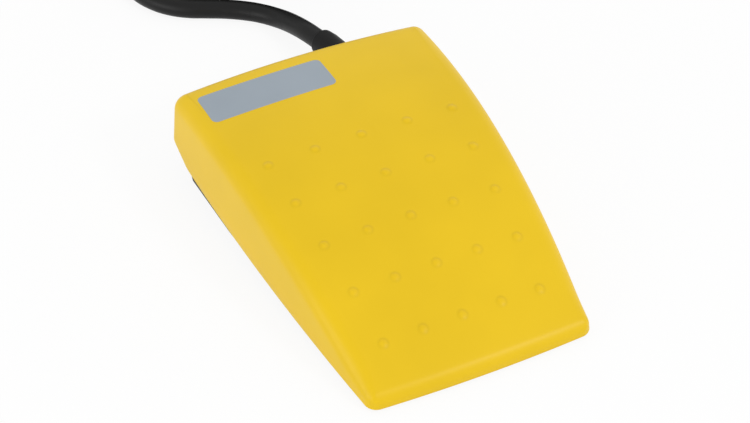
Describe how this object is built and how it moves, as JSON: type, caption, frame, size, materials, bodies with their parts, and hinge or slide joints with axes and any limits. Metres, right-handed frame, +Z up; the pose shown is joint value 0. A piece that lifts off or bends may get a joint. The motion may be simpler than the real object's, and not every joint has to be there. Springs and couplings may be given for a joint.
{
  "type": "foot switch",
  "caption": "Single-pedal foot switch: sprung yellow pedal hinged at its low front end over a black base, with a lever microswitch and a black lead",
  "frame": {"origin": "centre of the pedal's footprint on the floor, at the underside of the feet", "axes": "+Y towards the high rear end where the lead leaves, +Z up, +X to the side of the lead's outlet"},
  "size_m": [0.1336, 0.3118, 0.034],
  "materials": {
    "pedal_yellow": "satin moulded",
    "label_grey": "satin printed foil",
    "tray_black": "fine moulded texture",
    "foot_rubber": "matt",
    "pin_steel": "ground",
    "spring_steel": "drawn wire",
    "switch_black": "satin moulded",
    "contact_brass": "stamped",
    "blade_bronze": "rolled spring strip",
    "plunger_red": "moulded",
    "lever_steel": "stamped strip",
    "screw_steel": "zinc plated",
    "receptacle_nylon": "natural nylon",
    "core_blue": "extruded",
    "core_black": "extruded",
    "core_brown": "extruded",
    "relief_black": "moulded, matt",
    "sheath_black": "extruded, satin",
    "tip_tin": "tinned"
  },
  "bodies": {
    "base": {"base_tray": "tray_black", "foot_front_left": "foot_rubber", "foot_front_right": "foot_rubber", "foot_rear_left": "foot_rubber", "foot_rear_right": "foot_rubber", "hinge_pin": "pin_steel", "spring_left": "spring_steel", "spring_right": "spring_steel", "switch_case": "switch_black", "switch_cover": "switch_black", "terminal_common": "contact_brass", "terminal_open": "contact_brass", "terminal_closed": "contact_brass", "lever_pivot": "lever_steel", "switch_screws": "screw_steel", "receptacle_common": "receptacle_nylon", "receptacle_open": "receptacle_nylon", "receptacle_closed": "receptacle_nylon", "core_blue": "core_blue", "core_black": "core_black", "core_brown": "core_brown", "cable_clamp": "tray_black", "clamp_screws": "screw_steel", "strain_relief": "relief_black", "cable_inner": "sheath_black", "cable": "sheath_black", "cable_coil": "sheath_black", "cable_tail_cores": "core_brown", "cable_tail_tips": "tip_tin"},
    "pedal": {"pedal_cover": "pedal_yellow", "label_plate": "label_grey"},
    "lever": {"lever": "lever_steel"},
    "plunger": {"plunger": "plunger_red"},
    "blade": {"contact_blade": "blade_bronze"}
  },
  "joints": [
    {"name": "pedal_hinge", "type": "hinge", "parent": "base", "child": "pedal", "pos_m": [0, -0.048, 0.0075], "axis": [-1, 0, 0], "range_deg": [0, 3], "stiffness_Nm_per_rad": 10, "springref_deg": -2.86, "deforming": ["spring_left", "spring_right"]},
    {"name": "lever_hinge", "type": "hinge", "parent": "base", "child": "lever", "pos_m": [0, 0.0026, 0.0222], "axis": [-1, 0, 0], "range_deg": [0, 8.57]},
    {"name": "plunger_slide", "type": "slide", "parent": "base", "child": "plunger", "axis": [0, 0, -1], "range_m": [0, 0.00129]},
    {"name": "blade_hinge", "type": "hinge", "parent": "base", "child": "blade", "pos_m": [0, 0.004, 0.01375], "axis": [-1, 0, 0], "range_deg": [0, 3.78]}
  ],
  "couplings": [
    {"joint": "lever_hinge", "follows": "pedal_hinge", "ratio": 2.856},
    {"joint": "plunger_slide", "follows": "pedal_hinge", "m_per_rad": 0.02446},
    {"joint": "blade_hinge", "follows": "pedal_hinge", "ratio": 1.2574}
  ]
}
